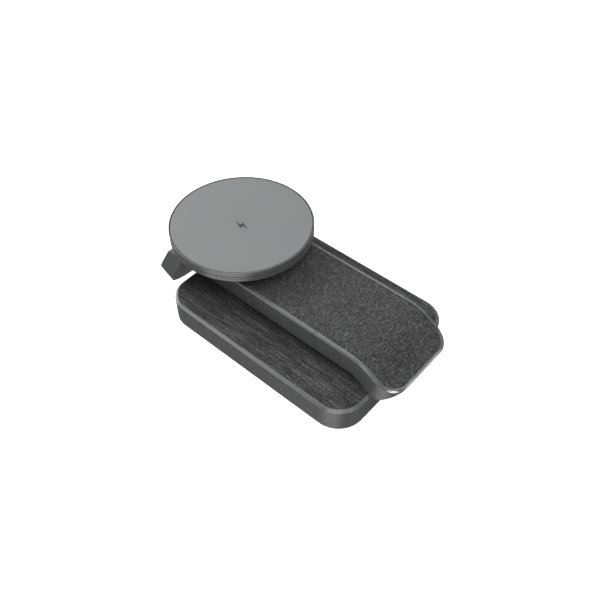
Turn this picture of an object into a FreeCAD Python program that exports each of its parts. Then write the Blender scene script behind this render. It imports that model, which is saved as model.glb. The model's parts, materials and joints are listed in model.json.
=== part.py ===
import FreeCAD, Part
import math
import os

# Folding wireless charging stand, in millimetres, shown folded flat.
# +X runs along the base to its front end, where the arm is hinged, +Y is across, +Z is up.
# The origin is the middle of the base's underside, on the surface it stands on.

Vec = FreeCAD.Vector
Y_AXIS = Vec(0, 1, 0)
Z_AXIS = Vec(0, 0, 1)

GAP = 0.1                 # running or assembly gap between pieces that only sit side by side
SKIN = 0.5                # thickness of a fabric inlay
RECESS = 0.6              # depth of the recess an inlay lies in

# Base plate
BASE_LENGTH = 97.6
BASE_WIDTH = 70.7
BASE_TOP = 11.3
BASE_BOTTOM = 0.3         # underside of the rigid shell, the mat reaches down to 0
BASE_CORNER = 11.7
BASE_WALL = 2.0
BASE_RIM = 1.35           # rim left standing round the fabric
BASE_BEVEL = 1.0          # bevel of the top edge, across and down
DECK_UNDER = 8.9          # underside of the base's top wall
COVER_TOP = 2.1           # inner face of the bottom cover
BOSS_X, BOSS_Y, BOSS_R = 39.5, 25.5, 2.6
FOOT_BOSS_R = 2.4         # bosses that take the hinge bracket's screws
TAP_R = 0.9               # hole in a boss for a base screw

# Arm
ARM_HALF = 19.3
ARM_TOP = 25.7
ARM_UNDER = 16.9
ARM_WALL = 1.8
ARM_COVER = 1.2           # thickness of the arm's bottom cover
ARM_DECK = 1.2            # thickness of the arm's top wall below the recess
ARM_FABRIC_HALF = 17.7
ARM_CORNER = 8.4          # plan radius at the arm's front end
ARM_BEVEL = 0.55          # bevel of the top edge, across and down
DROP_START = 37.4         # where the arm's top starts to fall towards its front end
DROP_RADIUS, DROP_RUN, DROP_ANGLE = 19.6, 5.9, 31.6
LIFT_RADIUS, LIFT_ANGLE = 9.5, 17.2
TIP_X = 58.9
TIP_RIM = 1.15            # rim left standing in front of the arm's fabric

# Fold hinge: the arm's rounded underside is centred on its axis
FOLD_X, FOLD_Z = 50.0, 16.0
BARREL_R = 4.8
UNDER_ANGLE = 34.0        # slope of the underside where it comes down to the barrel
UNDER_BEND = 4.0
NOSE_ANGLE = 37.4         # slope of the underside from the barrel up to the tip
EYE_R, EYE_HALF = 2.7, 8.0
PIN_HEAD_R = 2.3          # the pin's head, and the clip at its other end
PIN_R = 1.3
RUNNING = 0.04            # radial clearance of a pin in its eye
WASHER_R, WASHER_T = 2.6, 0.4
EAR_IN, EAR_OUT = 8.9, 11.2
FOOT_LOW, FOOT_TOP = 5.0, 6.6
HEEL_X, HEEL_Z = 37.8, 5.2  # where the neck that carries the eye leaves its foot
NECK_HALF = 1.2           # half the neck's thickness
NECK_SLOT = (40.0, 46.9)  # from and to in X, the opening for the neck in the base's top

# Slanted shelf behind the base, which stands on its lower edge
SHELF_ANGLE = 59.6
SHELF_FOOT_X, SHELF_FOOT_Z = -59.05, 0.3
SHELF_T = 7.55
SHELF_HALF = 28.2
SHELF_TOP = 31.1
SHELF_CORNER = 20.0
SHELF_CREST = 0.8         # rounding that clears the disc as it tilts
SHELF_WALL = 1.5
PANEL_RIM = 1.4
PANEL_T = 1.2
PANEL_END = 26.0          # how far up the slope the panel reaches

# Disc
DISC_X = -35.0
DISC_R = 30.15
DISC_TOP = 36.6
DISC_BOTTOM = 31.7
DISC_SPLIT = 34.2         # groove between the upper ring and the lower cup
DISC_WALL = 1.4
FACE_R = 29.45
FACE_T = 1.0
FACE_GROOVE = 0.4         # open groove between the face and the ring round it

# Tilt hinge of the disc, at the top rear corner of the shelf
TILT_X, TILT_Z = -48.6, 29.1
LUG_R = 2.0
LUG_HALF = 9.7
TILT_PIN_R = 1.0
TILT_PIN_HALF = 15.0


# ---------------------------------------------------------------- general shapes

def box(x0, x1, y0, y1, z0, z1):
    return Part.makeBox(x1 - x0, y1 - y0, z1 - z0, Vec(x0, y0, z0))


def upright(x, y, z0, z1, radius):
    return Part.makeCylinder(radius, z1 - z0, Vec(x, y, z0), Z_AXIS)


def crosswise(x, z, y0, y1, radius):
    return Part.makeCylinder(radius, y1 - y0, Vec(x, y0, z), Y_AXIS)


def tube(x, y, z0, z1, inner, outer):
    return upright(x, y, z0, z1, outer).cut(upright(x, y, z0, z1, inner))


def rounded_block(x0, x1, y0, y1, z0, z1, radius):
    """A block with rounded upright corners."""
    block = box(x0, x1, y0, y1, z0, z1)
    corners = [e for e in block.Edges if e.tangentAt(e.FirstParameter).isParallel(Z_AXIS, 0.01)]
    return block.makeFillet(radius, corners)


def side_prism(points, half_width):
    """A prism across the object from an outline of (x, z) points."""
    outline = Part.makePolygon([Vec(x, -half_width, z) for x, z in points + points[:1]])
    return Part.Face(outline).extrude(Vec(0, 2 * half_width, 0))


def fuse_all(shapes):
    return shapes[0].multiFuse(shapes[1:]).removeSplitter()


def cut_all(shape, tools):
    return shape.cut(Part.makeCompound(tools))


def solids_of(shapes):
    """Several separate solids as one node."""
    return Part.makeCompound([s for shape in shapes for s in shape.Solids])


def screw(head_r, head_h, shank_r, length):
    """A screw with its head's top at the origin, pointing along -Z, with a hexagon socket."""
    head = Part.makeCone(head_r, shank_r, head_h, Vec(0, 0, 0), Vec(0, 0, -1))
    shank = Part.makeCylinder(shank_r, length, Vec(0, 0, 0), Vec(0, 0, -1))
    socket = [Vec(0.45 * head_r * math.cos(a), 0.45 * head_r * math.sin(a), 0)
              for a in (k * math.pi / 3 for k in range(7))]
    recess = Part.Face(Part.makePolygon(socket)).extrude(Vec(0, 0, -0.6 * head_h))
    return head.fuse(shank).cut(recess).removeSplitter()


def placed(shape, origin, direction=Z_AXIS):
    """A copy of a shape with its +Z turned to a direction and its origin moved."""
    moved = shape.copy()
    turn = FreeCAD.Rotation(Z_AXIS, direction)
    moved.Placement = FreeCAD.Placement(origin, turn)
    return moved


def flat_coil(inner_r, turns, pitch, width, height):
    """A flat spiral winding on the origin, made of half circles, rising along +Z."""
    def edge_line(offset):
        arcs = []
        for half_turn in range(2 * turns):
            radius = inner_r + pitch * half_turn / 2
            sense = 1 if half_turn % 2 == 0 else -1
            centre = 0 if half_turn % 2 == 0 else pitch / 2
            start = Vec(centre + sense * (radius + offset), 0, 0)
            middle = Vec(centre, sense * (radius + offset), 0)
            end = Vec(centre - sense * (radius + offset), 0, 0)
            arcs.append(Part.Arc(start, middle, end).toShape())
        return arcs
    inside, outside = edge_line(-width / 2), edge_line(width / 2)
    ends = [Part.makeLine(inside[0].firstVertex(True).Point, outside[0].firstVertex(True).Point),
            Part.makeLine(inside[-1].lastVertex(True).Point, outside[-1].lastVertex(True).Point)]
    outline = Part.Wire(Part.__sortEdges__(inside + outside + ends))
    return Part.Face(outline).extrude(Vec(0, 0, height))


# ---------------------------------------------------------------- base

def base_inset(inset, z0, z1):
    """The base's outline, moved in by an inset, as a block."""
    half_x, half_y = BASE_LENGTH / 2 - inset, BASE_WIDTH / 2 - inset
    return rounded_block(-half_x, half_x, -half_y, half_y, z0, z1, BASE_CORNER - inset)


def neck_slot(z0, z1):
    """The opening in the base's top that the hinge neck comes up through."""
    half = EYE_HALF + 0.3
    return box(*NECK_SLOT, -half, half, z0, z1)


def corner_places():
    return [(sx * BOSS_X, sy * BOSS_Y) for sx in (-1, 1) for sy in (-1, 1)]


FOOT_SCREW_XS, FOOT_SCREW_Y = (24.5, 36.0), 11.0


def foot_places():
    return [(x, sy * FOOT_SCREW_Y) for x in FOOT_SCREW_XS for sy in (-1, 1)]


SOCKET_X, SOCKET_Z = -22.0, 5.55
SOCKET_HALF_W, SOCKET_HALF_H = 4.47, 1.63


def socket_outline(grow, y0, y1):
    """The oval prism of the inlet, larger by grow all round."""
    half_w, half_h = SOCKET_HALF_W + grow, SOCKET_HALF_H + grow
    middle = box(SOCKET_X - half_w + half_h, SOCKET_X + half_w - half_h, y0, y1,
                 SOCKET_Z - half_h, SOCKET_Z + half_h)
    ends = [crosswise(SOCKET_X + s * (half_w - half_h), SOCKET_Z, y0, y1, half_h) for s in (-1, 1)]
    return fuse_all([middle] + ends)


def base_housing():
    shell = base_inset(0, BASE_BOTTOM, BASE_TOP)
    top_edges = [e for e in shell.Edges if e.BoundBox.ZMin > BASE_TOP - 0.01]
    shell = shell.makeChamfer(BASE_BEVEL, top_edges)
    shell = cut_all(shell, [base_inset(BASE_WALL, BASE_BOTTOM - 1, DECK_UNDER)])
    shell = shell.cut(base_inset(BASE_RIM, BASE_TOP - RECESS - 0.1, BASE_TOP + 1))
    bosses = [upright(x, y, COVER_TOP + GAP, DECK_UNDER, BOSS_R) for x, y in corner_places()]
    bosses += [upright(x, y, FOOT_TOP + GAP, DECK_UNDER, FOOT_BOSS_R) for x, y in foot_places()]
    shell = fuse_all([shell] + bosses)
    holes = [upright(x, y, COVER_TOP - 1, DECK_UNDER - 0.9, TAP_R) for x, y in corner_places()]
    holes += [upright(x, y, FOOT_TOP, FOOT_TOP + 2.6, TAP_R) for x, y in foot_places()]
    side = BASE_WIDTH / 2
    return cut_all(shell, holes + [neck_slot(DECK_UNDER - 1, BASE_TOP + 1),
                                   socket_outline(0.15, side - 3, side + 1),
                                   socket_outline(0.9, side - 0.8, side + 1)])


def base_fabric():
    sheet = base_inset(BASE_RIM + GAP, BASE_TOP - SKIN, BASE_TOP)
    return sheet.cut(neck_slot(BASE_TOP - 1, BASE_TOP + 1))


def base_cover():
    plate = base_inset(BASE_WALL + GAP, BASE_BOTTOM, COVER_TOP)
    pocket = base_inset(BASE_WALL + 1.9, 0, 0.9)
    holes = []
    for x, y in corner_places():
        holes += [upright(x, y, 0, COVER_TOP + 1, 1.1), upright(x, y, 0, 1.5, 2.1)]
    return cut_all(plate, [pocket] + holes)


def base_mat():
    return base_inset(BASE_WALL + 2.0, 0, 0.85)


def base_cover_screws():
    one = screw(2.0, 0.5, 0.85, 5.0)
    return solids_of([placed(one, Vec(x, y, 1.0), Vec(0, 0, -1)) for x, y in corner_places()])


BALLAST_X, BALLAST_Y = 35.0, 29.0
BALLAST_T = 1.5


def ballast_plate():
    low = COVER_TOP + GAP
    return rounded_block(-BALLAST_X, BALLAST_X, -BALLAST_Y, BALLAST_Y, low, low + BALLAST_T, 4.0)


BOARD = (-33.0, -9.0, -6.0, 32.6, 4.0, 5.0)


def base_circuit_board():
    x0, x1, y0, y1, z0, z1 = BOARD
    board = box(x0, x1, y0, y1, z0, z1)
    notch = box(SOCKET_X - 4.7, SOCKET_X + 4.7, 26.5, y1 + 1, z0 - 1, z1 + 1)
    return board.cut(notch)


def board_chips():
    top = BOARD[5]
    return solids_of([box(-27, -22, 20, 25, top, top + 0.8), box(-19, -15, 21, 25, top, top + 0.8),
                      box(-31, -27.5, 26, 31, top, top + 1.6)])


def board_capacitors():
    top = BOARD[5]
    places = [(-14.5, 24.0 + 2.6 * k) for k in range(3)]
    return solids_of([box(x, x + 3.2, y, y + 1.6, top, top + 1.2) for x, y in places])


def usb_c_socket():
    """Metal shell with a contact tongue, open towards +Y."""
    front, back = BASE_WIDTH / 2 - 0.9, BASE_WIDTH / 2 - 8.2
    shell = socket_outline(0, back, front).cut(socket_outline(-0.3, back + 0.6, front + 1))
    tongue = box(SOCKET_X - 3.35, SOCKET_X + 3.35, back + 0.5, front - 0.5, SOCKET_Z - 0.35, SOCKET_Z + 0.35)
    return fuse_all([shell, tongue])


COIL_PITCH, COIL_WIRE = 1.0, 0.8      # of the base's and the disc's coils
BASE_FERRITE_Z, BASE_FERRITE_T, BASE_FERRITE_R = 6.0, 0.6, 20.0
BASE_COIL_R, BASE_COIL_TURNS, BASE_COIL_T = 9.0, 10, 1.2


def base_ferrite():
    return tube(0, 0, BASE_FERRITE_Z, BASE_FERRITE_Z + BASE_FERRITE_T, 3.0, BASE_FERRITE_R)


def base_coil():
    coil = flat_coil(BASE_COIL_R, BASE_COIL_TURNS, COIL_PITCH, COIL_WIRE, BASE_COIL_T)
    return placed(coil, Vec(0, 0, BASE_FERRITE_Z + BASE_FERRITE_T + GAP))


def base_hinge_bracket():
    """A foot screwed under the base's top, a neck and the eye of the fold hinge."""
    foot = rounded_block(21.0, 39.5, -15, 15, FOOT_LOW, FOOT_TOP, 1.5)
    heel = Vec(HEEL_X, 0, HEEL_Z)
    axis = Vec(FOLD_X, 0, FOLD_Z)
    run = heel - axis
    side = Vec(run.z, 0, -run.x).normalize() * NECK_HALF
    neck = side_prism([(p.x, p.z) for p in (axis + side, heel + side, heel - side, axis - side)], EYE_HALF)
    neck = neck.cut(box(30, 60, -EYE_HALF, EYE_HALF, 0, FOOT_LOW))
    eye = crosswise(FOLD_X, FOLD_Z, -EYE_HALF, EYE_HALF, EYE_R)
    body = fuse_all([foot, neck, eye])
    holes = [upright(x, y, FOOT_LOW - 1, FOOT_TOP + 1, 1.05) for x, y in foot_places()]
    return cut_all(body, holes + [crosswise(FOLD_X, FOLD_Z, -20, 20, PIN_R + RUNNING)])


def base_bracket_screws():
    one = screw(1.8, 0.8, 0.85, 4.8)
    return solids_of([placed(one, Vec(x, y, FOOT_LOW - 0.8), Vec(0, 0, -1)) for x, y in foot_places()])


# ---------------------------------------------------------------- fold hinge pin

def fold_pin():
    """A headed pin that turns with the arm, grooved for its clip."""
    shank = crosswise(FOLD_X, FOLD_Z, -EAR_OUT, EAR_OUT + 1.6, PIN_R)
    head = crosswise(FOLD_X, FOLD_Z, -EAR_OUT - 1.0, -EAR_OUT, PIN_HEAD_R)
    groove = crosswise(FOLD_X, FOLD_Z, EAR_OUT + 0.3, EAR_OUT + 0.9, PIN_R + 1)
    groove = groove.cut(crosswise(FOLD_X, FOLD_Z, EAR_OUT, EAR_OUT + 1.2, PIN_R - 0.3))
    return shank.fuse(head).cut(groove).removeSplitter()


def fold_pin_clip():
    ring = crosswise(FOLD_X, FOLD_Z, EAR_OUT + 0.35, EAR_OUT + 0.85, PIN_HEAD_R)
    ring = ring.cut(crosswise(FOLD_X, FOLD_Z, EAR_OUT, EAR_OUT + 1.2, PIN_R - 0.25))
    return ring.cut(box(FOLD_X - 3, FOLD_X, EAR_OUT, EAR_OUT + 1.2, FOLD_Z - 0.7, FOLD_Z + 0.7))


def fold_washers():
    """Two friction washers on each side of the eye."""
    washers = []
    for side in (-1, 1):
        for k in range(2):
            near = EYE_HALF + 0.04 + k * (WASHER_T + 0.02)
            y0, y1 = sorted((side * near, side * (near + WASHER_T - 0.02)))
            ring = crosswise(FOLD_X, FOLD_Z, y0, y1, WASHER_R)
            washers.append(ring.cut(crosswise(FOLD_X, FOLD_Z, y0 - 1, y1 + 1, PIN_R + 0.02)))
    return solids_of(washers)


# ---------------------------------------------------------------- arm

def turn_arc(start, heading, turn, radius, steps_side):
    """An arc that leaves a point along a heading (degrees, in X and Z) and turns by an angle."""
    a0 = math.radians(heading)
    centre = Vec(start.x - steps_side * radius * math.sin(a0), 0, start.z + steps_side * radius * math.cos(a0))
    points = []
    for part in (0.5, 1.0):
        a = math.radians(heading + steps_side * turn * part)
        points.append(Vec(centre.x + steps_side * radius * math.sin(a), 0,
                          centre.z - steps_side * radius * math.cos(a)))
    return Part.Arc(start, points[0], points[1]).toShape(), points[1]


def ahead(start, heading, length):
    a = math.radians(heading)
    return start + Vec(math.cos(a), 0, math.sin(a)) * length


def arm_top_edges(depth, front_x):
    """The arm's top line from rear to front, moved down into the arm by a depth."""
    start = Vec(-70, 0, ARM_TOP - depth)
    crest = Vec(DROP_START, 0, ARM_TOP - depth)
    first, p1 = turn_arc(crest, 0, DROP_ANGLE, DROP_RADIUS - depth, -1)
    p2 = ahead(p1, -DROP_ANGLE, DROP_RUN)
    second, p3 = turn_arc(p2, -DROP_ANGLE, DROP_ANGLE - LIFT_ANGLE, LIFT_RADIUS + depth, 1)
    p4 = ahead(p3, -LIFT_ANGLE, (front_x - p3.x) / math.cos(math.radians(LIFT_ANGLE)))
    edges = [Part.makeLine(start, crest), first, Part.makeLine(p1, p2), second, Part.makeLine(p3, p4)]
    return edges, start, p4


def arm_under_edges(depth):
    """The arm's underside from rear to front, moved up into the arm by a depth."""
    r = BARREL_R - depth
    bend = UNDER_BEND + depth
    slope, nose = math.radians(UNDER_ANGLE), math.radians(NOSE_ANGLE)
    landing = Vec(FOLD_X - r * math.sin(slope), 0, FOLD_Z - r * math.cos(slope))
    level = ARM_UNDER + depth
    tangent = bend * math.tan(slope / 2)
    corner_x = landing.x - (level - landing.z) / math.tan(slope)
    start = Vec(-70, 0, level)
    p1 = Vec(corner_x - tangent, 0, level)
    arc, p2 = turn_arc(p1, 0, UNDER_ANGLE, bend, -1)
    bottom = Vec(FOLD_X, 0, FOLD_Z - r)
    leaving = Vec(FOLD_X + r * math.sin(nose), 0, FOLD_Z - r * math.cos(nose))
    p5 = ahead(leaving, NOSE_ANGLE, 14)
    edges = [Part.makeLine(start, p1), arc, Part.makeLine(p2, landing),
             Part.Arc(landing, bottom, leaving).toShape(), Part.makeLine(leaving, p5)]
    return edges, start, p5


def below_arm_top(depth, half_width=60):
    """Everything below the arm's top line, moved down by a depth."""
    edges, start, end = arm_top_edges(depth, 75)
    return region(edges, start, end, -30, half_width)


def above_arm_underside(depth, half_width=60):
    """Everything above the arm's underside, moved up by a depth."""
    edges, start, end = arm_under_edges(depth)
    return region(edges, start, end, 60, half_width)


def arm_between(top_depth, under_depth, half_width):
    """The arm's side profile between two depths, as a prism across the object."""
    return below_arm_top(top_depth, half_width).common(above_arm_underside(under_depth, half_width))


def region(edges, start, end, far_z, half_width):
    """What lies between a line from rear to front and a far level."""
    closing = [Part.makeLine(end, Vec(end.x, 0, far_z)),
               Part.makeLine(Vec(end.x, 0, far_z), Vec(start.x, 0, far_z)),
               Part.makeLine(Vec(start.x, 0, far_z), start)]
    face = Part.Face(Part.Wire(Part.__sortEdges__(edges + closing)))
    solid = face.extrude(Vec(0, 2 * half_width, 0))
    solid.translate(Vec(0, -half_width, 0))
    return solid


def shelf_direction():
    a = math.radians(SHELF_ANGLE)
    return Vec(math.cos(a), 0, math.sin(a)), Vec(-math.sin(a), 0, math.cos(a))


def shelf_point(along, across, through):
    """A point of the shelf: up its slope from the foot, across it, and into its thickness."""
    up, out = shelf_direction()
    return Vec(SHELF_FOOT_X, 0, SHELF_FOOT_Z) + up * along + Vec(0, across, 0) + out * through


def shelf_placement(along, through):
    """Turns a shape drawn with +X up the slope and +Z out of the rear face."""
    turn = FreeCAD.Rotation(Y_AXIS, -SHELF_ANGLE)
    return FreeCAD.Placement(shelf_point(along, 0, through), turn)


def on_shelf(shape, along=0.0, through=0.0):
    moved = shape.copy()
    moved.Placement = shelf_placement(along, through)
    return moved


def behind_arm():
    """Everything on the rear side of the shelf's front face, which ends the arm."""
    return on_shelf(box(-60, 90, -60, 60, -GAP, 90))


def arm_plan(inset, z0, z1):
    """The arm's outline from above, moved in by an inset."""
    half, front = ARM_HALF - inset, TIP_X - inset
    return rounded_block(-90, front, -half, half, z0, z1, ARM_CORNER - inset)


def fabric_plan(gap):
    """The outline of the arm's fabric recess, moved in by a gap."""
    half, front = ARM_FABRIC_HALF - gap, TIP_X - TIP_RIM - gap
    return rounded_block(-90, front, -half, half, 0, 60, ARM_CORNER - TIP_RIM - gap)


def hinge_window(half_width):
    """The space that the base's neck and eye need inside the arm while it turns."""
    low, high = -162.0, -52.0
    points = [(FOLD_X, FOLD_Z)]
    for k in range(5):
        a = math.radians(low + (high - low) * k / 4)
        points.append((FOLD_X + 14 * math.cos(a), FOLD_Z + 14 * math.sin(a)))
    return side_prism(points, half_width).fuse(crosswise(FOLD_X, FOLD_Z, -half_width, half_width, EYE_R + 0.35))


COVER_SCREW_PLACES = [(x, sy * 14.2) for x in (-34.0, 0.0, 33.0) for sy in (-1, 1)]
SPINE_SCREW_PLACES = [(x, sy * 7.0) for x in (-30.0, 8.0) for sy in (-1, 1)]
BRACKET_SCREW_PLACES = [(x, sy * 7.0) for x in (26.0, 36.0) for sy in (-1, 1)]
BRACKET_TOP = 22.7
COVER_FRONT = FOLD_X + 4.5
SPINE_TOP = 21.3


def arm_outer():
    """The arm's outer form, with its top edge bevelled along both sides and round the front end."""
    body = arm_between(0, 0, ARM_HALF).common(arm_plan(0, 0, 40)).cut(behind_arm())
    lower = below_arm_top(0.05)
    rim = []
    for edge in body.Edges:
        middle = edge.valueAt((edge.FirstParameter + edge.LastParameter) / 2)
        on_outline = abs(middle.y) > 1 or middle.x > TIP_X - 0.1
        if on_outline and not lower.isInside(middle, 0.001, True):
            rim.append(edge)
    return body.makeChamfer(ARM_BEVEL, rim)


def arm_nose():
    """The shell's own wall at the front, in line with the bottom cover behind it."""
    return box(COVER_FRONT + GAP, 90, -60, 60, 0, 40).cut(above_arm_underside(ARM_COVER))


def arm_top_shell():
    shell = arm_outer()
    cavity = below_arm_top(RECESS + ARM_DECK).common(arm_plan(ARM_WALL, 0, 40)).cut(arm_nose())
    recess = fabric_plan(0).cut(below_arm_top(RECESS))
    shell = cut_all(shell, [cavity, recess])
    bosses, holes = [], []
    under_deck = ARM_TOP - RECESS - ARM_DECK
    for x, y in COVER_SCREW_PLACES:
        bosses.append(upright(x, y, ARM_UNDER + ARM_COVER + 0.1, under_deck + 0.1, 2.1))
        holes.append(upright(x, y, ARM_UNDER, under_deck - 0.5, 0.75))
    for x, y in SPINE_SCREW_PLACES:
        bosses.append(upright(x, y, SPINE_TOP + 0.1, under_deck + 0.1, 2.0))
        holes.append(upright(x, y, SPINE_TOP, under_deck + 0.5, 0.75))
    for x, y in BRACKET_SCREW_PLACES:
        bosses.append(upright(x, y, BRACKET_TOP + 0.1, under_deck + 0.1, 2.0))
        holes.append(upright(x, y, BRACKET_TOP, under_deck + 0.6, 0.75))
    shell = fuse_all([shell] + bosses)
    return cut_all(shell, holes + [hinge_window(EYE_HALF + 0.9)])


def arm_fabric():
    sheet = fabric_plan(GAP).common(below_arm_top(RECESS - SKIN)).cut(below_arm_top(RECESS))
    return sheet.cut(on_shelf(box(-60, 90, -60, 60, -2, 90)))


def arm_bottom_cover():
    half = ARM_HALF - ARM_WALL - GAP
    cover = above_arm_underside(0, half).cut(above_arm_underside(ARM_COVER))
    cover = cover.common(box(-90, COVER_FRONT, -half, half, 0, 20))
    cover = cover.common(arm_plan(ARM_WALL + GAP, 0, 40)).cut(behind_arm())
    holes = [hinge_window(EYE_HALF + 0.5)]
    for x, y in COVER_SCREW_PLACES:
        holes += [upright(x, y, 10, 22, 0.95), upright(x, y, 10, ARM_UNDER + 0.55, 1.7)]
    return cut_all(cover, holes)


def arm_cover_screws():
    one = screw(1.6, 0.5, 0.7, 5.6)
    return solids_of([placed(one, Vec(x, y, ARM_UNDER + 0.05), Vec(0, 0, -1)) for x, y in COVER_SCREW_PLACES])


def arm_hinge_bracket():
    """A plate under the arm's top with two ears that reach down to the fold axis."""
    plate = box(22.5, 41.0, -EAR_OUT, EAR_OUT, BRACKET_TOP - 1.1, BRACKET_TOP)
    ears = []
    for side in (-1, 1):
        y0, y1 = sorted((side * EAR_IN, side * EAR_OUT))
        ends = [(FOLD_X, FOLD_Z, EYE_R), (39.8, 20.7, 2.0)]
        discs = [crosswise(x, z, y0, y1, r) for x, z, r in ends]
        web = ear_web(y0, y1, ends)
        ears.append(fuse_all(discs + [web]))
    body = fuse_all([plate] + ears)
    holes = [upright(x, y, 20, 24, 0.95) for x, y in BRACKET_SCREW_PLACES]
    return cut_all(body, holes + [crosswise(FOLD_X, FOLD_Z, -20, 20, PIN_R)])


def ear_web(y0, y1, ends):
    """The web between two discs of an ear, bounded by their common tangents."""
    (xa, za, ra), (xb, zb, rb) = ends
    span = math.hypot(xb - xa, zb - za)
    along = math.atan2(zb - za, xb - xa)
    spread = math.acos((ra - rb) / span)
    points = []
    for x, z, r, s in ((xa, za, ra, 1), (xb, zb, rb, 1), (xb, zb, rb, -1), (xa, za, ra, -1)):
        a = along + s * spread
        points.append(Vec(x + r * math.cos(a), y0, z + r * math.sin(a)))
    return Part.Face(Part.makePolygon(points + points[:1])).extrude(Vec(0, y1 - y0, 0))


def arm_bracket_screws():
    one = screw(1.5, 0.6, 0.7, 3.2)
    top = BRACKET_TOP - 1.1 - 0.55
    return solids_of([placed(one, Vec(x, y, top), Vec(0, 0, -1)) for x, y in BRACKET_SCREW_PLACES])


SPINE_T = 1.2
SPINE_HALF = 10.0
SPINE_LEG_SCREWS = [(8.0, -6.0), (8.0, 6.0)]


def arm_spine():
    """A bent strip that runs along the arm and down inside the shelf, joining the two."""
    up, out = shelf_direction()
    low = SPINE_TOP - SPINE_T
    leg_in = shelf_point(0, 0, SHELF_WALL + GAP)
    slope = math.tan(math.radians(SHELF_ANGLE))
    bend_x = leg_in.x + (low - leg_in.z) / slope
    inner = Vec(bend_x, 0, low)
    outer = inner + Vec(-SPINE_T / math.tan(math.radians((180 - SHELF_ANGLE) / 2)), 0, SPINE_T)
    foot = shelf_point(4.0, 0, SHELF_WALL + GAP)
    points = [(20.0, low), (20.0, SPINE_TOP), (outer.x, outer.z)]
    points += [((foot + out * SPINE_T).x, (foot + out * SPINE_T).z), (foot.x, foot.z), (inner.x, inner.z)]
    strip = side_prism(points, SPINE_HALF)
    holes = [upright(x, y, 15, 24, 0.95) for x, y in SPINE_SCREW_PLACES]
    for along, across in SPINE_LEG_SCREWS:
        holes.append(Part.makeCylinder(0.95, 6, shelf_point(along, across, -1), out))
    slot = box(-26, 4, -3, 3, 15, 24)
    return cut_all(strip, holes + [slot])


def spine_screws():
    one = screw(1.5, 0.6, 0.7, 3.4)
    top = SPINE_TOP - SPINE_T - 0.55
    screws = [placed(one, Vec(x, y, top), Vec(0, 0, -1)) for x, y in SPINE_SCREW_PLACES]
    short = screw(1.5, 0.6, 0.7, 2.6)
    out = shelf_direction()[1]
    head = SHELF_WALL + GAP + SPINE_T + 0.55
    screws += [placed(short, shelf_point(a, c, head), out) for a, c in SPINE_LEG_SCREWS]
    return solids_of(screws)


RIBBON_FROM, RIBBON_TO, RIBBON_HALF = -44.0, 19.0, 4.0
RIBBON_Z, RIBBON_T = 19.0, 0.3


def arm_ribbon_cable():
    return box(RIBBON_FROM, RIBBON_TO, -RIBBON_HALF, RIBBON_HALF, RIBBON_Z, RIBBON_Z + RIBBON_T)


# ---------------------------------------------------------------- shelf

def shelf_block(inset, low, high, up_length=42.0):
    """The shelf's outline moved in by an inset, between two depths, up to a length along its slope."""
    block = box(inset, up_length, -SHELF_HALF + inset, SHELF_HALF - inset, low, high)
    corners = [e for e in block.Edges if e.tangentAt(e.FirstParameter).isParallel(Z_AXIS, 0.01)
               and e.BoundBox.XMax < up_length - 1]
    return on_shelf(block.makeFillet(SHELF_CORNER - inset, corners))


def lug_room():
    """The notch at the top of the shelf that the disc's lug turns in."""
    half = LUG_HALF + 0.35
    turn = crosswise(TILT_X, TILT_Z, -half, half, LUG_R + 0.4)
    above = box(TILT_X - 6.0, TILT_X + LUG_R + 0.4, -half, half, TILT_Z, TILT_Z + 8)
    behind = box(TILT_X - 6.0, TILT_X, -half, half, TILT_Z - 1.9, TILT_Z + 1)
    return fuse_all([turn, above, behind])


def shelf_top_cut():
    return box(-90, 0, -60, 60, SHELF_TOP, 60)


def crest_corner():
    """What is rounded off the shelf's top rear edge, so that the disc can tilt over it."""
    up, out = shelf_direction()
    low = shelf_point(0, 0, SHELF_T - SHELF_CREST)
    centre = low + up * ((SHELF_TOP - SHELF_CREST - low.z) / up.z)
    on_rear = centre + out * SHELF_CREST
    corner = on_rear + up * ((SHELF_TOP - on_rear.z) / up.z)
    points = [centre, on_rear, corner, Vec(centre.x, 0, SHELF_TOP)]
    wedge = side_prism([(p.x, p.z) for p in points], SHELF_HALF + 1)
    return wedge.cut(crosswise(centre.x, centre.z, -SHELF_HALF - 2, SHELF_HALF + 2, SHELF_CREST))


def shelf_housing():
    out = shelf_direction()[1]
    body = cut_all(shelf_block(0, 0, SHELF_T), [shelf_top_cut(), crest_corner()])
    hollow = shelf_block(PANEL_RIM + 1.0, SHELF_WALL, SHELF_T + 1, PANEL_END - 1.0)
    panel_seat = shelf_block(PANEL_RIM, SHELF_T - PANEL_T, SHELF_T + 1, PANEL_END)
    window = box(-62, -30, -SPINE_HALF - 0.3, SPINE_HALF + 0.3, 18.6, SPINE_TOP + 0.3)
    window = window.common(on_shelf(box(0, 60, -30, 30, -5, SHELF_WALL + 0.5)))
    tools = [hollow, panel_seat, window, lug_room()]
    tools.append(crosswise(TILT_X, TILT_Z, -TILT_PIN_HALF, TILT_PIN_HALF, TILT_PIN_R))
    for along, across in SPINE_LEG_SCREWS:
        tools.append(Part.makeCylinder(0.75, 1.4, shelf_point(along, across, 0.4), out))
    return cut_all(body, tools)


def shelf_panel():
    return shelf_block(PANEL_RIM + GAP, SHELF_T - PANEL_T + 0.05, SHELF_T, PANEL_END - GAP)


SHELF_COIL_UP = 13.5      # how far up the slope the coil's middle is
SHELF_FERRITE_IN, SHELF_FERRITE_T, SHELF_FERRITE_R = 3.5, 0.5, 10.5
SHELF_COIL_R, SHELF_COIL_TURNS, SHELF_COIL_T = 5.0, 6, 1.2


def shelf_ferrite():
    return on_shelf(tube(0, 0, 0, SHELF_FERRITE_T, 2.5, SHELF_FERRITE_R), SHELF_COIL_UP, SHELF_FERRITE_IN)


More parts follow.
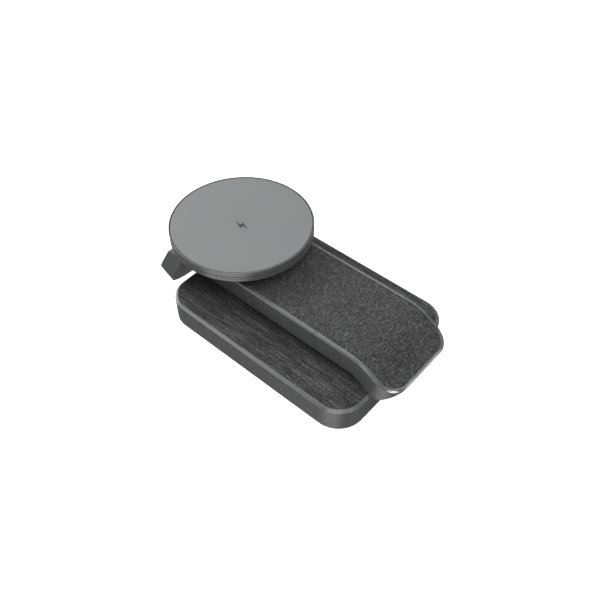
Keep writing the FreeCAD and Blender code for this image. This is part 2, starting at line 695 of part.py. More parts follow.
def shelf_coil():
    coil = flat_coil(SHELF_COIL_R, SHELF_COIL_TURNS, 0.8, 0.65, SHELF_COIL_T)
    return on_shelf(coil, SHELF_COIL_UP, SHELF_FERRITE_IN + SHELF_FERRITE_T + GAP)


# ---------------------------------------------------------------- disc

def disc_housing():
    """The disc's lower cup, with its floor open for the hinge bracket."""
    cup = upright(DISC_X, 0, DISC_BOTTOM, DISC_SPLIT, DISC_R)
    low_edge = [e for e in cup.Edges if e.BoundBox.ZMax < DISC_BOTTOM + 0.01]
    cup = cup.makeFillet(0.6, low_edge)
    line = tube(DISC_X, 0, DISC_BOTTOM + 1.45, DISC_BOTTOM + 1.65, DISC_R - 0.15, DISC_R + 1)
    inside = upright(DISC_X, 0, DISC_BOTTOM + 1.1, DISC_SPLIT + 1, DISC_R - DISC_WALL)
    slot = box(TILT_X - LUG_R - 0.4, TILT_X + LUG_R + 0.4, -LUG_HALF - 0.2, LUG_HALF + 0.2,
               DISC_BOTTOM - 1, DISC_BOTTOM + 2)
    holes = []
    for x, y in disc_screw_places():
        holes += [upright(x, y, 30, 34, 0.85), upright(x, y, 30, DISC_BOTTOM + 0.55, 1.5)]
    return cut_all(cup, [line, inside, slot] + holes)


def disc_screw_places():
    return [(TILT_X + dx, sy * 7.0) for dx in (-4.2, 4.2) for sy in (-1, 1)]


def disc_upper_ring():
    """The ring round the face, with a small groove where it meets the cup."""
    ring = tube(DISC_X, 0, DISC_SPLIT + 0.05, DISC_TOP, DISC_R - DISC_WALL, DISC_R)
    outer = [e for e in ring.Edges if e.BoundBox.ZMin > DISC_TOP - 0.01 and e.BoundBox.XLength > 2 * DISC_R - 1]
    ring = ring.makeFillet(0.12, outer)
    seat = upright(DISC_X, 0, DISC_TOP - FACE_T, DISC_TOP + 1, FACE_R + FACE_GROOVE)
    groove = tube(DISC_X, 0, DISC_SPLIT, DISC_SPLIT + 0.3, DISC_R - 0.3, DISC_R + 1)
    return cut_all(ring, [seat, groove])


def disc_face():
    face = upright(DISC_X, 0, DISC_TOP - FACE_T + 0.05, DISC_TOP - 0.05, FACE_R)
    top = [e for e in face.Edges if e.BoundBox.ZMin > DISC_TOP - 0.1]
    face = face.makeFillet(0.15, top)
    return face.cut(bolt_prism(DISC_TOP - 0.35, DISC_TOP + 1))


BOLT_X, BOLT_Y = -33.5, -1.5
BOLT = [(-3.8, 0.1), (-0.75, 0.0), (-0.85, 1.6), (3.8, -0.1), (0.75, 0.0), (0.85, -1.6)]


def bolt_prism(z0, z1):
    """A plain zigzag charging symbol, pointing along the base."""
    points = [Vec(BOLT_X + x, BOLT_Y + y, z0) for x, y in BOLT]
    return Part.Face(Part.makePolygon(points + points[:1])).extrude(Vec(0, 0, z1 - z0))


def bolt_mark():
    return bolt_prism(DISC_TOP - 0.35, DISC_TOP - 0.05)


MAGNET_LOW, MAGNET_TOP = 33.0, 35.3
MAGNET_IN, MAGNET_OUT = 23.4, 27.6
MAGNET_PLACES, MAGNET_SPACE = 18, 1.6     # places round the ring, and the angle between two magnets
DISC_FERRITE_Z, DISC_FERRITE_T, DISC_FERRITE_R = 33.65, 0.5, 22.6
DISC_COIL_R, DISC_COIL_TURNS, DISC_COIL_T = 10.5, 11, 1.1


def disc_magnets():
    """A ring of curved magnets, with one left out towards the front."""
    step = 360 / MAGNET_PLACES
    ring = tube(DISC_X, 0, MAGNET_LOW, MAGNET_TOP, MAGNET_IN, MAGNET_OUT)
    magnets = []
    for k in range(1, MAGNET_PLACES):
        wedge = Part.makeCylinder(MAGNET_OUT + 1, 10, Vec(DISC_X, 0, MAGNET_LOW - 1), Z_AXIS, step - MAGNET_SPACE)
        wedge.rotate(Vec(DISC_X, 0, 0), Z_AXIS, k * step - (step - MAGNET_SPACE) / 2)
        magnets.append(ring.common(wedge))
    return solids_of(magnets)


def disc_ferrite():
    return upright(DISC_X, 0, DISC_FERRITE_Z, DISC_FERRITE_Z + DISC_FERRITE_T, DISC_FERRITE_R)


def disc_coil():
    coil = flat_coil(DISC_COIL_R, DISC_COIL_TURNS, COIL_PITCH, COIL_WIRE, DISC_COIL_T)
    return placed(coil, Vec(DISC_X, 0, DISC_FERRITE_Z + DISC_FERRITE_T + GAP))


def disc_hinge_bracket():
    """A plate inside the disc with a lug that hangs down to the tilt pin."""
    low = DISC_BOTTOM + 1.15
    plate = rounded_block(TILT_X - 6.5, TILT_X + 6.5, -LUG_HALF, LUG_HALF, low, low + 0.7, 1.5)
    lug = crosswise(TILT_X, TILT_Z, -LUG_HALF, LUG_HALF, LUG_R)
    web = box(TILT_X - LUG_R, TILT_X + LUG_R, -LUG_HALF, LUG_HALF, TILT_Z, low + 0.3)
    body = fuse_all([plate, lug, web])
    holes = [upright(x, y, 32, 34, 0.65) for x, y in disc_screw_places()]
    return cut_all(body, holes + [crosswise(TILT_X, TILT_Z, -20, 20, TILT_PIN_R + RUNNING)])


def disc_bracket_screws():
    one = screw(1.4, 0.5, 0.6, 1.85)
    return solids_of([placed(one, Vec(x, y, DISC_BOTTOM + 0.03), Vec(0, 0, -1)) for x, y in disc_screw_places()])


def tilt_pin():
    return crosswise(TILT_X, TILT_Z, -TILT_PIN_HALF + 0.1, TILT_PIN_HALF - 0.1, TILT_PIN_R)


NODES = [base_housing, base_fabric, base_cover, base_mat, base_cover_screws, ballast_plate,
         base_circuit_board, board_chips, board_capacitors, usb_c_socket, base_ferrite, base_coil,
         base_hinge_bracket, base_bracket_screws, fold_pin, fold_pin_clip, fold_washers,
         arm_top_shell, arm_fabric, arm_bottom_cover, arm_cover_screws, arm_hinge_bracket,
         arm_bracket_screws, arm_spine, spine_screws, arm_ribbon_cable,
         shelf_housing, shelf_panel, shelf_ferrite, shelf_coil, tilt_pin,
         disc_housing, disc_upper_ring, disc_face, bolt_mark, disc_magnets, disc_ferrite,
         disc_coil, disc_hinge_bracket, disc_bracket_screws]

os.makedirs("parts", exist_ok=True)
for make in NODES:
    shape = make()
    shape.exportStep("parts/" + make.__name__ + ".step")
    print(make.__name__, len(shape.Solids), shape.isValid(), round(shape.Volume, 1))
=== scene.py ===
import bmesh
import bpy
import json
import math
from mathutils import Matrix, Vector
from mathutils.bvhtree import BVHTree


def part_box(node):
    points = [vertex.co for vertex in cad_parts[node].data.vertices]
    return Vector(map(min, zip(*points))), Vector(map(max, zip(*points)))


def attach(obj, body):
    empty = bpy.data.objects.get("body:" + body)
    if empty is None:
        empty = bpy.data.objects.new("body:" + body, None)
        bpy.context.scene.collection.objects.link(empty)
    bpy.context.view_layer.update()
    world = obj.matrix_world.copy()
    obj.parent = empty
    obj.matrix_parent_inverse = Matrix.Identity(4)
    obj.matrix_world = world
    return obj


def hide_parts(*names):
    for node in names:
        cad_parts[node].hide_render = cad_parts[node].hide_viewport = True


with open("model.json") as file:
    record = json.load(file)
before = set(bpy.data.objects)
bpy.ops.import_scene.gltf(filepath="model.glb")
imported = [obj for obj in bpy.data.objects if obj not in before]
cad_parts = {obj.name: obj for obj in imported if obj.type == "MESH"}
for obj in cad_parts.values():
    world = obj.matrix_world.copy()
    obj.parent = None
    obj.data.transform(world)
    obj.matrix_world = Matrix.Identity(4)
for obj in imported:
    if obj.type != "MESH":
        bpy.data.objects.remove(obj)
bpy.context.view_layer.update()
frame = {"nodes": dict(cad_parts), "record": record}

# Folding wireless charger. Lengths are in metres unless a name ends in _mm.
# The frame's +X runs to the hinged end of the base, +Y across, +Z up.

MM = 0.001
NODES = frame["nodes"]
NOISE_LOW, NOISE_HIGH = 0.3, 0.7     # nearly all of a noise lies between these
COOL = 0.01                          # the slight blue of the greys


# ---------------------------------------------------------------- node graphs

class Graph:
    """A material built from nodes, with texture coordinates in millimetres of the row frame."""

    def __init__(self, name):
        self.material = bpy.data.materials.new(name)
        self.material.use_nodes = True
        self.tree = self.material.node_tree
        self.shader = self.tree.nodes["Principled BSDF"]
        place = self.tree.nodes.new("ShaderNodeTexCoord").outputs["Object"]
        self.mm = self.vector_math("SCALE", place, scale=1 / MM)

    def put(self, socket, value):
        if isinstance(value, bpy.types.NodeSocket):
            self.tree.links.new(value, socket)
        else:
            socket.default_value = value

    def vector_math(self, operation, a, b=None, scale=None):
        node = self.tree.nodes.new("ShaderNodeVectorMath")
        node.operation = operation
        self.put(node.inputs[0], a)
        if b is not None:
            self.put(node.inputs[1], b)
        if scale is not None:
            self.put(node.inputs["Scale"], scale)
        return node.outputs[0]

    def math(self, operation, a, b=0.0):
        node = self.tree.nodes.new("ShaderNodeMath")
        node.operation = operation
        self.put(node.inputs[0], a)
        self.put(node.inputs[1], b)
        return node.outputs[0]

    def split(self, vector):
        node = self.tree.nodes.new("ShaderNodeSeparateXYZ")
        self.put(node.inputs[0], vector)
        return node.outputs[0], node.outputs[1], node.outputs[2]

    def join(self, x, y, z=0.0):
        node = self.tree.nodes.new("ShaderNodeCombineXYZ")
        for socket, value in zip(node.inputs, (x, y, z)):
            self.put(socket, value)
        return node.outputs[0]

    def noise(self, size_mm, detail=2.0, roughness=0.5, stretch=(1, 1, 1), vector=None):
        """Noise from 0 to 1 with features of about a size, longer along an axis by its stretch."""
        node = self.tree.nodes.new("ShaderNodeTexNoise")
        scale = tuple(1 / (size_mm * s) for s in stretch)
        coordinates = self.vector_math("MULTIPLY", vector or self.mm, scale)
        self.put(node.inputs["Vector"], coordinates)
        node.inputs["Scale"].default_value = 1.0
        node.inputs["Detail"].default_value = detail
        node.inputs["Roughness"].default_value = roughness
        return node.outputs["Fac"]

    def cells(self, size_mm):
        """Distance from the middle of rounded cells of about a size."""
        node = self.tree.nodes.new("ShaderNodeTexVoronoi")
        self.put(node.inputs["Vector"], self.vector_math("SCALE", self.mm, scale=1 / size_mm))
        node.inputs["Scale"].default_value = 1.0
        return node.outputs["Distance"]

    def chance(self, vector):
        """A fixed random number from 0 to 1 for each whole-number position."""
        node = self.tree.nodes.new("ShaderNodeTexWhiteNoise")
        self.put(node.inputs["Vector"], vector)
        return node.outputs["Value"]

    def ramp(self, value, stops):
        """A grey or a colour that runs through (position, colour) stops."""
        node = self.tree.nodes.new("ShaderNodeValToRGB")
        self.put(node.inputs[0], value)
        elements = node.color_ramp.elements
        while len(elements) < len(stops):
            elements.new(0.5)
        for element, (position, colour) in zip(elements, stops):
            element.position = position
            element.color = (*(colour if isinstance(colour, tuple) else grey(colour)), 1)
        return node.outputs["Color"]

    def span(self, value, low, high, to_low, to_high):
        """A value from low to high, moved to another range and held inside it."""
        node = self.tree.nodes.new("ShaderNodeMapRange")
        for socket, number in zip(node.inputs, (value, low, high, to_low, to_high)):
            self.put(socket, number)
        return node.outputs[0]

    def spread(self, noise, to_low, to_high):
        """A noise, moved to a range."""
        return self.span(noise, NOISE_LOW, NOISE_HIGH, to_low, to_high)

    def mix(self, factor, a, b):
        node = self.tree.nodes.new("ShaderNodeMix")
        node.data_type = "RGBA"
        self.put(node.inputs[0], factor)
        self.put(node.inputs[6], a)
        self.put(node.inputs[7], b)
        return node.outputs[2]

    def bump(self, height, depth_mm, below=None):
        node = self.tree.nodes.new("ShaderNodeBump")
        node.inputs["Strength"].default_value = 1.0
        node.inputs["Distance"].default_value = depth_mm * MM
        self.put(node.inputs["Height"], height)
        if below is not None:
            self.put(node.inputs["Normal"], below)
        return node.outputs["Normal"]

    def finish(self, colour, roughness, normal=None, **sockets):
        self.put(self.shader.inputs["Base Color"], colour)
        self.put(self.shader.inputs["Roughness"], roughness)
        if normal is not None:
            self.put(self.shader.inputs["Normal"], normal)
        for name, value in sockets.items():
            self.shader.inputs[name.replace("_", " ")].default_value = value
        return self.material


def grey(value, tint=0.0):
    """A grey, slightly blue where the tint is above 0 and slightly yellow below it."""
    return (value * (1 - tint), value, value * (1 + tint))


def tones(graph, level, drift, size_mm):
    """A colour that wanders gently round a grey level."""
    return graph.ramp(graph.noise(size_mm, 3.0), [(NOISE_LOW, grey(level * (1 - drift), COOL)),
                                                  (NOISE_HIGH, grey(level * (1 + drift), COOL))])


# ---------------------------------------------------------------- plastics

def moulded_plastic(name, level, grain_mm, grain_depth_mm, rough, specular=0.5, drift=0.04):
    """Moulded plastic: a fine even grain, with small drifts in tone and gloss."""
    graph = Graph(name)
    colour = tones(graph, level, drift, 14.0)
    roughness = graph.spread(graph.noise(5.0, 2.0), rough - 0.02, rough + 0.02)
    grain = graph.noise(grain_mm, 2.0, 0.6)
    waviness = graph.bump(graph.noise(18.0, 1.0), 0.008)
    return graph.finish(colour, roughness, graph.bump(grain, grain_depth_mm, waviness),
                        Specular_IOR_Level=specular)


def printed_ink(name, level):
    graph = Graph(name)
    colour = tones(graph, level, 0.1, 1.2)
    roughness = graph.spread(graph.noise(0.3, 2.0), 0.5, 0.65)
    return graph.finish(colour, roughness, graph.bump(graph.noise(0.12), 0.004))


def silicone(name, level):
    """Soft grip mat with a fine pebbled skin and a little dust."""
    graph = Graph(name)
    dust = graph.ramp(graph.noise(1.1, 6.0, 0.7), [(0.62, 0.0), (0.78, 0.35)])
    colour = graph.mix(dust, (*grey(level), 1), (*grey(level * 4, -0.02), 1))
    pebbles = graph.cells(0.7)
    roughness = graph.spread(graph.noise(3.0, 4.0), 0.72, 0.88)
    return graph.finish(colour, roughness, graph.bump(pebbles, 0.05))


# ---------------------------------------------------------------- woven melange

YARN_DRIFT_MM = 0.6      # how far a yarn strays from a straight line
FIBRE_SHARE = 0.2        # the share of the tone that single fibres give


def melange(name, along_x, level, contrast, yarn_mm, strand_mm, slub_mm, streak):
    """Plain weave of yarn spun from dark and light wool, which runs along X, or else along Y.

    A strand is the stretch of yarn between two crossings, and a slub is a longer one that keeps its
    tone. Streak is the slubs' share of the tone.
    """
    graph = Graph(name)
    x, y, _ = graph.split(graph.mm)
    run, across = (x, y) if along_x else (y, x)
    drift = graph.math("SUBTRACT", graph.noise(6.0, 1.0), 0.5)
    drift = graph.math("MULTIPLY", drift, YARN_DRIFT_MM)
    yarns = graph.math("DIVIDE", graph.math("ADD", across, drift), yarn_mm)
    yarn, in_yarn = graph.math("FLOOR", yarns), graph.math("FRACT", yarns)
    offset = graph.math("MULTIPLY", graph.chance(graph.join(yarn, 2.0)), 3.0)
    in_strand = graph.math("FRACT", graph.math("ADD", graph.math("DIVIDE", run, strand_mm), offset))

    def hump(share, power):
        """Rises from 0 to 1 and falls again. A lower power gives it a flatter top."""
        rise = graph.math("SINE", graph.math("MULTIPLY", share, math.pi))
        return graph.math("POWER", rise, power)

    def along_yarn(length_mm, stride, layer=0.0):
        """Noise that runs on along a yarn and is new on the next one. Stride and layer pick it."""
        place = graph.math("DIVIDE", run, length_mm), graph.math("MULTIPLY", yarn, stride)
        return graph.noise(1.0, 1.0, vector=graph.join(*place, layer))

    height = graph.math("MULTIPLY", hump(in_strand, 0.35), hump(in_yarn, 0.8))
    strand = graph.spread(along_yarn(strand_mm, 7.7), 0.0, 1.0)
    slub = graph.span(along_yarn(slub_mm, 5.3, 4.0), 0.40, 0.72, 0.0, 1.0)
    fibres = graph.join(graph.math("DIVIDE", run, 0.9), graph.math("DIVIDE", across, 0.25))
    fibre = graph.span(graph.noise(1.0, 3.0, 0.7, vector=fibres), 0.25, 0.75, 0.0, 1.0)
    tone = graph.math("MULTIPLY", strand, 1 - FIBRE_SHARE - streak)
    for part, share in ((slub, streak), (fibre, FIBRE_SHARE)):
        tone = graph.math("ADD", tone, graph.math("MULTIPLY", part, share))
    colour = graph.ramp(tone, [(0.15, grey(level * (1 - contrast), COOL)),
                               (0.50, grey(level * (1 - 0.15 * contrast), COOL)),
                               (0.85, grey(level * (1 + 1.6 * contrast)))])
    # Painted shade: the colour is mixed toward a dark grey where the weave's height is low, in the
    # crevices between yarns and strands, where shade falls.
    crevice_shade = graph.span(height, 0.0, 0.8, 0.4, 1.0)
    colour = graph.mix(crevice_shade, (*grey(level * 0.3), 1), colour)
    fuzz = graph.noise(0.11, 3.0, 0.7)
    relief = graph.bump(fuzz, 0.03, graph.bump(height, 0.12))
    return graph.finish(colour, graph.spread(fuzz, 0.82, 0.95), relief,
                        Sheen_Weight=0.12, Sheen_Roughness=0.45, Specular_IOR_Level=0.25)


# ---------------------------------------------------------------- metals and inner parts

def brushed_metal(name, colour, rough, stretch, grain_mm=0.08):
    """Metal with fine marks along one axis, and a few broad stains."""
    graph = Graph(name)
    marks = graph.noise(grain_mm, 3.0, 0.7, stretch)
    stains = graph.noise(6.0, 4.0, 0.6)
    dark, light = tuple(c * 0.8 for c in colour), tuple(min(c * 1.1, 1.0) for c in colour)
    base = graph.mix(stains, (*dark, 1), (*light, 1))
    roughness = graph.span(marks, 0.25, 0.75, rough - 0.1, rough + 0.12)
    return graph.finish(base, roughness, graph.bump(marks, 0.01), Metallic=1.0)


def enamelled_wire(name):
    graph = Graph(name)
    base = graph.ramp(graph.noise(2.5, 4.0), [(NOISE_LOW, (0.48, 0.17, 0.07)),
                                              (NOISE_HIGH, (0.66, 0.27, 0.12))])
    strands = graph.noise(0.12, 2.0, 0.6)
    return graph.finish(base, graph.spread(strands, 0.22, 0.36), graph.bump(strands, 0.02),
                        Metallic=1.0, Coat_Weight=0.5)


def pressed_ferrite(name):
    graph = Graph(name)
    return graph.finish(tones(graph, 0.035, 0.25, 1.5), graph.spread(graph.noise(0.5), 0.6, 0.8),
                        graph.bump(graph.noise(0.15, 4.0), 0.02))


def circuit_board(name):
    """Solder mask over tracks, which show as slightly lighter raised lines."""
    graph = Graph(name)
    _, y, _ = graph.split(graph.mm)
    bend = graph.math("MULTIPLY", graph.noise(9.0, 0.0), 6.0)
    stripes = graph.math("PINGPONG", graph.math("ADD", y, bend), 0.6)
    tracks = graph.ramp(graph.math("DIVIDE", stripes, 0.6), [(0.45, 0.0), (0.55, 1.0)])
    base = graph.mix(tracks, (0.006, 0.045, 0.018, 1), (0.015, 0.11, 0.04, 1))
    return graph.finish(base, graph.spread(graph.noise(2.0), 0.28, 0.4), graph.bump(tracks, 0.035))


def speckled(name, dark, light, size_mm, rough):
    graph = Graph(name)
    base = graph.ramp(graph.noise(size_mm, 4.0, 0.7), [(0.35, dark), (0.65, light)])
    return graph.finish(base, graph.spread(graph.noise(size_mm * 2), rough - 0.08, rough + 0.08),
                        graph.bump(graph.noise(size_mm * 0.5), 0.01))


def flat_ribbon(name):
    """Amber film with conductors that run along X."""
    graph = Graph(name)
    _, y, _ = graph.split(graph.mm)
    wires = graph.ramp(graph.math("PINGPONG", y, 0.5), [(0.18, 1.0), (0.26, 0.0)])
    base = graph.mix(wires, (0.30, 0.13, 0.02, 1), (0.55, 0.27, 0.08, 1))
    return graph.finish(base, graph.spread(graph.noise(3.0), 0.2, 0.35), graph.bump(wires, 0.03))


FINISHES = {
    "disc_shell": moulded_plastic("disc_plastic", level=0.13, grain_mm=0.15, grain_depth_mm=0.0012,
                                  rough=0.31, specular=0.85),
    "shell": moulded_plastic("shell_plastic", level=0.135, grain_mm=0.20, grain_depth_mm=0.0010,
                             rough=0.27),
    "cover": moulded_plastic("cover_plastic", level=0.12, grain_mm=0.45, grain_depth_mm=0.03,
                             rough=0.6),
    "face": moulded_plastic("face_plastic", level=0.196, grain_mm=0.14, grain_depth_mm=0.003,
                            rough=0.58, specular=0.35, drift=0.012),
    "mark": printed_ink("mark_ink", level=0.03),
    "silicone": silicone("mat_silicone", level=0.02),
    "steel": brushed_metal("bracket_steel", (0.50, 0.50, 0.51), rough=0.38, stretch=(8, 1, 1)),
    "pin_steel": brushed_metal("pin_steel", (0.62, 0.62, 0.63), rough=0.25, stretch=(1, 6, 1)),
    "screw_steel": brushed_metal("screw_steel", (0.24, 0.24, 0.25), rough=0.35, stretch=(1, 1, 4)),
    "socket_steel": brushed_metal("socket_steel", grey(0.60), rough=0.28, stretch=(1, 8, 1)),
    "spine": brushed_metal("spine_aluminium", (0.72, 0.72, 0.73), rough=0.32, stretch=(10, 1, 1)),
    "copper": enamelled_wire("coil_wire"),
    "ferrite": pressed_ferrite("ferrite_sheet"),
    "magnet": brushed_metal("magnet_nickel", (0.66, 0.64, 0.60), rough=0.22, stretch=(1, 1, 1),
                            grain_mm=0.3),
    "board": circuit_board("board_mask"),
    "chip": speckled("chip_epoxy", grey(0.012), grey(0.024), size_mm=0.12, rough=0.5),
    "capacitor": speckled("capacitor_ceramic", (0.30, 0.20, 0.12), (0.42, 0.30, 0.19), size_mm=0.3,
                          rough=0.45),
    "ribbon": flat_ribbon("ribbon_film"),
}
BASE_WEAVE = melange("base_weave", along_x=True, level=0.072, contrast=1.0, yarn_mm=0.46,
                     strand_mm=0.60, slub_mm=14.0, streak=0.38)
ARM_WEAVE = melange("arm_weave", along_x=False, level=0.081, contrast=1.0, yarn_mm=0.46,
                    strand_mm=0.40, slub_mm=2.0, streak=0.26)

for row in frame["record"]["subparts"]:
    if row["material_slot"] in FINISHES:
        slots = NODES[row["node"]].data.materials
        slots.clear()
        slots.append(FINISHES[row["material_slot"]])


# ---------------------------------------------------------------- fabric inlays

EDGE_ROLL = 0.35 * MM        # how far in from its edge the cloth rolls down
EDGE_DROP = 0.28 * MM        # and how far down
CELL = 0.45 * MM             # grid spacing of the cloth
EDGE_LINES = 0.25, 0.55      # more grid lines at both ends, in cells from the edge
SINK = 0.02 * MM             # how far the cloth lies below the top of its CAD node
RIPPLE = 0.014 * MM          # how high its waves are
BASE_WAVE = (3.3 * MM, 1.2 * MM)
ARM_WAVE = (1.3 * MM, 3.1 * MM)
BASE_RADIUS = 10.25 * MM     # plan radius of the base inlay's corners
TIP_RADIUS = 7.15 * MM       # plan radius of the arm inlay's two front corners
NECK_OPENING = (40.0 * MM, 46.9 * MM, 8.3 * MM)     # from x, to x, half its width
ARM_START = 0.35 * MM        # how far the arm's cloth starts from the rear end of its CAD node
ARM_PROBE = 1.2 * MM         # the rear end's rounding, which the arm's profile leaves out
ARM_THICKNESS = 0.42 * MM
BASE_THINNER = EDGE_DROP * 0.2      # how much thinner the base's cloth is than its CAD node
BASE_CUT = (67.8 * MM, 94.7 * MM), 6215 * MM ** 2       # width and length, then the cut's area
ARM_CUT = (35.2 * MM, 102.0 * MM), 3568 * MM ** 2


def ripple(x, y, wave, seed):
    """Repeatable waves, about as high as RIPPLE, for a cloth that doesn't lie quite flat.

    They are four waves that run different ways, each shorter and lower than the one before.
    """
    x, y = x / wave[0], y / wave[1]
    total = 0.0
    for k in range(1, 5):
        turn = seed * 1.7 + k * 2.4
        total += math.sin(k * (x * math.cos(turn) + y * math.sin(turn)) + turn * 3) / k
    return RIPPLE * total / 2.1     # 2.1 is about the most that the total can be


def corner_mapped(u, v, half_x, half_y, radius):
    """Moves a point of a plain rectangle so that its corners become quarter discs."""
    over_x, over_y = abs(u) - (half_x - radius), abs(v) - (half_y - radius)
    if over_x <= 0 or over_y <= 0:
        return u, v
    s, t = over_x / radius, over_y / radius
    x = half_x - radius + radius * s * math.sqrt(1 - t * t / 2)
    y = half_y - radius + radius * t * math.sqrt(1 - s * s / 2)
    return math.copysign(x, u), math.copysign(y, v)


def edge_distance(x, y, half_x, half_y, radius):
    """How far a point is inside a rounded rectangle."""
    dx, dy = abs(x) - (half_x - radius), abs(y) - (half_y - radius)
    if dx > 0 and dy > 0:
        return radius - math.hypot(dx, dy)
    return radius - max(dx, dy)


def rolled_edge(distance):
    """How far the top of the cloth falls at its edge, as a quarter of an oval."""
    s = 1 - min(max(distance, 0.0) / EDGE_ROLL, 1.0)
    return EDGE_DROP * (1 - math.sqrt(1 - s * s))


def steps(*stops):
    """Values through all the stops, about one cell apart, with more of them at both ends."""
    values = [stops[0]]
    for low, high in zip(stops, stops[1:]):
        count = max(round((high - low) / CELL), 1)
        values += [low + (high - low) * k / count for k in range(1, count + 1)]
    for share in EDGE_LINES:
        values += [stops[0] + CELL * share, stops[-1] - CELL * share]
    return sorted(values)


def profile_of(node):
    """A function that gives the height of a CAD node's top at x, on its centre line."""
    low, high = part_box(node)
    tree = BVHTree.FromObject(NODES[node], bpy.context.evaluated_depsgraph_get())
    inside = 0.02 * MM

    def top(x):
        x = min(max(x, low.x + ARM_PROBE), high.x - inside)
        return tree.ray_cast(Vector((x, 0, 1.0)), Vector((0, 0, -1)))[0].z

    return top


def closed_sheet(name, xs, ys, point, thickness, skipped=lambda x, y: False):
    """A closed sheet over a grid.

    point(x, y) gives its top, and skipped(x, y) says whether the cell there is left out.
    """
    rows = len(ys)
    top = [point(x, y) for x in xs for y in ys]
    cells = [(i, j) for i in range(len(xs) - 1) for j in range(rows - 1)
             if not skipped((xs[i] + xs[i + 1]) / 2, (ys[j] + ys[j + 1]) / 2)]
    upper = []
    for i, j in cells:
        a, b = i * rows + j, (i + 1) * rows + j
        upper.append((a, b, b + 1, a + 1))
    edges = {(f[k], f[(k + 1) % 4]) for f in upper for k in range(4)}
    rims = [(a, b) for a, b in edges if (b, a) not in edges]
    below = len(top)
    faces = upper + [tuple(v + below for v in reversed(f)) for f in upper]
    faces += [(b, a, a + below, b + below) for a, b in sorted(rims)]
    mesh = bpy.data.meshes.new(name)
    mesh.from_pydata(top + [p - Vector((0, 0, thickness)) for p in top], [], faces)
    trimmed = bmesh.new()
    trimmed.from_mesh(mesh)
    bmesh.ops.delete(trimmed, geom=[v for v in trimmed.verts if not v.link_faces], context="VERTS")
    trimmed.to_mesh(mesh)
    trimmed.free()
    mesh.shade_smooth()
    piece = bpy.data.objects.new(name, mesh)
    bpy.context.scene.collection.objects.link(piece)
    return piece


def base_inlay():
    """The base's woven top, with the opening that the hinge neck comes through."""
    low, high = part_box("base_fabric")
    from_x, to_x, half_opening = NECK_OPENING

    def in_opening(x, y):
        return from_x < x < to_x and abs(y) < half_opening

    def to_opening(x, y):
        dx, dy = max(from_x - x, x - to_x), abs(y) - half_opening
        return math.hypot(max(dx, 0.0), max(dy, 0.0))

    def point(u, v):
        x, y = corner_mapped(u, v, high.x, high.y, BASE_RADIUS)
        edge = min(edge_distance(x, y, high.x, high.y, BASE_RADIUS), to_opening(x, y))
        lift = ripple(x, y, BASE_WAVE, seed=2.0)
        return Vector((x, y, high.z - SINK + lift - rolled_edge(edge)))

    xs = steps(low.x, from_x, to_x, high.x)
    ys = steps(low.y, -half_opening, half_opening, high.y)
    thickness = high.z - low.z - BASE_THINNER
    return closed_sheet("base_woven_inlay", xs, ys, point, thickness, in_opening)


def arm_inlay():
    """The arm's woven top, which follows the arm down to its tip."""
    low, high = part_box("arm_fabric")
    height = profile_of("arm_fabric")
    middle = (low.x + high.x) / 2
    half_x = (high.x - low.x) / 2

    def point(u, v):
        x, y = u - middle, v
        if x > 0:
            x, y = corner_mapped(x, y, half_x, high.y, TIP_RADIUS)
        edge = edge_distance(x, y, half_x, high.y, TIP_RADIUS) if x > 0 else high.y - abs(y)
        lift = ripple(x, y, ARM_WAVE, seed=5.0)
        x += middle
        return Vector((x, y, height(x) - SINK + lift - rolled_edge(edge)))

    xs, ys = steps(low.x + ARM_START, high.x), steps(low.y, high.y)
    return closed_sheet("arm_woven_inlay", xs, ys, point, ARM_THICKNESS)


# ---------------------------------------------------------------- camera, floor and light

CAMERA_AT = (0.13036, -0.15305, 0.23203)
CAMERA_AIM = (-0.0100, 0.0081, 0.0)
LIGHT_AIM = (0, 0, 0.015)
STRIP_DISTANCE = 0.6
STAGE_RADIUS = 3.0
FLOOR_Z = -0.0002            # just clear of the mat
FLOOR_GLOW, BACKDROP_GLOW, WORLD_GLOW = 0.95, 1.0, 0.15


def aimed(obj, target):
    obj.rotation_mode = "QUATERNION"
    obj.rotation_quaternion = (Vector(target) - obj.location).to_track_quat("-Z", "Y")


def add_camera():
    camera = bpy.data.objects.new("camera", bpy.data.cameras.new("camera"))
    bpy.context.scene.collection.objects.link(camera)
    camera.location = CAMERA_AT
    camera.data.lens = 42.83
    camera.data.sensor_width = 36.0
    camera.data.clip_start = 0.01
    aimed(camera, CAMERA_AIM)
    bpy.context.scene.camera = camera


def softbox(name, azimuth, elevation, distance, width, height, power):
    """A soft light round the object. Azimuth 0 stands on the -Y side and 90 on the +X side."""
    a, e = math.radians(azimuth), math.radians(elevation)
    lamp = bpy.data.objects.new(name, bpy.data.lights.new(name, "AREA"))
    bpy.context.scene.collection.objects.link(lamp)
    back = Vector((math.sin(a) * math.cos(e), -math.cos(a) * math.cos(e), math.sin(e)))
    lamp.location = Vector(LIGHT_AIM) + back * distance
    lamp.data.shape = "RECTANGLE"
    lamp.data.size, lamp.data.size_y = width, height
    lamp.data.energy = power
    aimed(lamp, LIGHT_AIM)
    return lamp


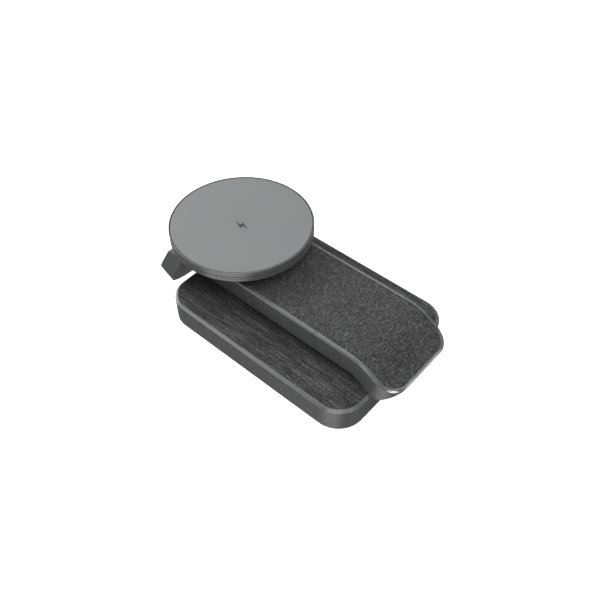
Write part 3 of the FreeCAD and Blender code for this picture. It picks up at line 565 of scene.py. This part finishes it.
def add_floor():
    """A pale floor that runs into a pale backdrop. Neither throws light back onto the object."""
    bpy.ops.mesh.primitive_circle_add(vertices=96, radius=STAGE_RADIUS, fill_type="NGON",
                                      location=(0, 0, FLOOR_Z))
    floor = bpy.context.object
    floor.name = "floor"
    paper = Graph("floor_paper")
    shade = paper.ramp(paper.noise(60.0, 3.0), [(0.3, 0.58), (0.7, 0.62)])
    floor.data.materials.append(paper.finish(shade, 0.9, Emission_Color=(1, 1, 1, 1),
                                             Emission_Strength=FLOOR_GLOW))
    bpy.ops.mesh.primitive_uv_sphere_add(segments=64, ring_count=32, radius=STAGE_RADIUS)
    backdrop = bpy.context.object
    backdrop.name = "backdrop"
    glow = Graph("backdrop_paper")
    backdrop.data.materials.append(glow.finish((0, 0, 0, 1), 1.0, Emission_Color=(1, 1, 1, 1),
                                               Emission_Strength=BACKDROP_GLOW))
    for stage in (floor, backdrop):
        stage.visible_diffuse = False
        stage.visible_glossy = False
        stage.visible_shadow = False


def add_world(strength):
    world = bpy.data.worlds.new("studio")
    bpy.context.scene.world = world
    world.use_nodes = True
    background = world.node_tree.nodes["Background"]
    background.inputs["Color"].default_value = (1, 1, 1, 1)
    background.inputs["Strength"].default_value = strength


for build, body, node, seat, weave, (flat, area) in (
        (base_inlay, "base", "base_fabric", "base_housing", BASE_WEAVE, BASE_CUT),
        (arm_inlay, "arm", "arm_fabric", "arm_top_shell", ARM_WEAVE, ARM_CUT)):
    cloth = build()
    cloth.data.materials.append(weave)
    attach(cloth, body)
    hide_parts(node)

bpy.context.scene.view_settings.view_transform = "Standard"
add_camera()
add_floor()
add_world(WORLD_GLOW)
softbox("overhead", azimuth=79, elevation=74, distance=0.9, width=1.1, height=1.1, power=7.9)
softbox("left_fill", azimuth=-80, elevation=40, distance=0.6, width=0.40, height=0.30, power=2.7)
front_fill = softbox("front_fill", azimuth=4, elevation=-28, distance=0.6, width=0.40, height=0.16,
                     power=0.32)
front_fill.visible_glossy = False
softbox("side_fill", azimuth=98, elevation=-38, distance=0.5, width=0.30, height=0.30, power=0.05)
softbox("bounce", azimuth=17, elevation=-45, distance=0.5, width=0.54, height=0.16, power=0.62)
# The strips are only seen as reflections, in the bevels and the rims.
for name, azimuth, elevation, width, height, power in (
        ("left_strip", -75, 0, 0.45, 0.30, 1.65),
        ("front_strip", -40, 22, 0.36, 0.12, 0.50),
        ("right_strip", 30, 32, 0.42, 0.14, 1.04),
        ("right_key", 72, 14, 0.25, 0.08, 2.6),
        ("back_strip", 118, 0, 0.26, 0.10, 0.7),
        ("rear_strip", -148, 53, 0.24, 0.24, 0.30)):
    strip = softbox(name, azimuth, elevation, STRIP_DISTANCE, width, height, power)
    strip.visible_diffuse = False
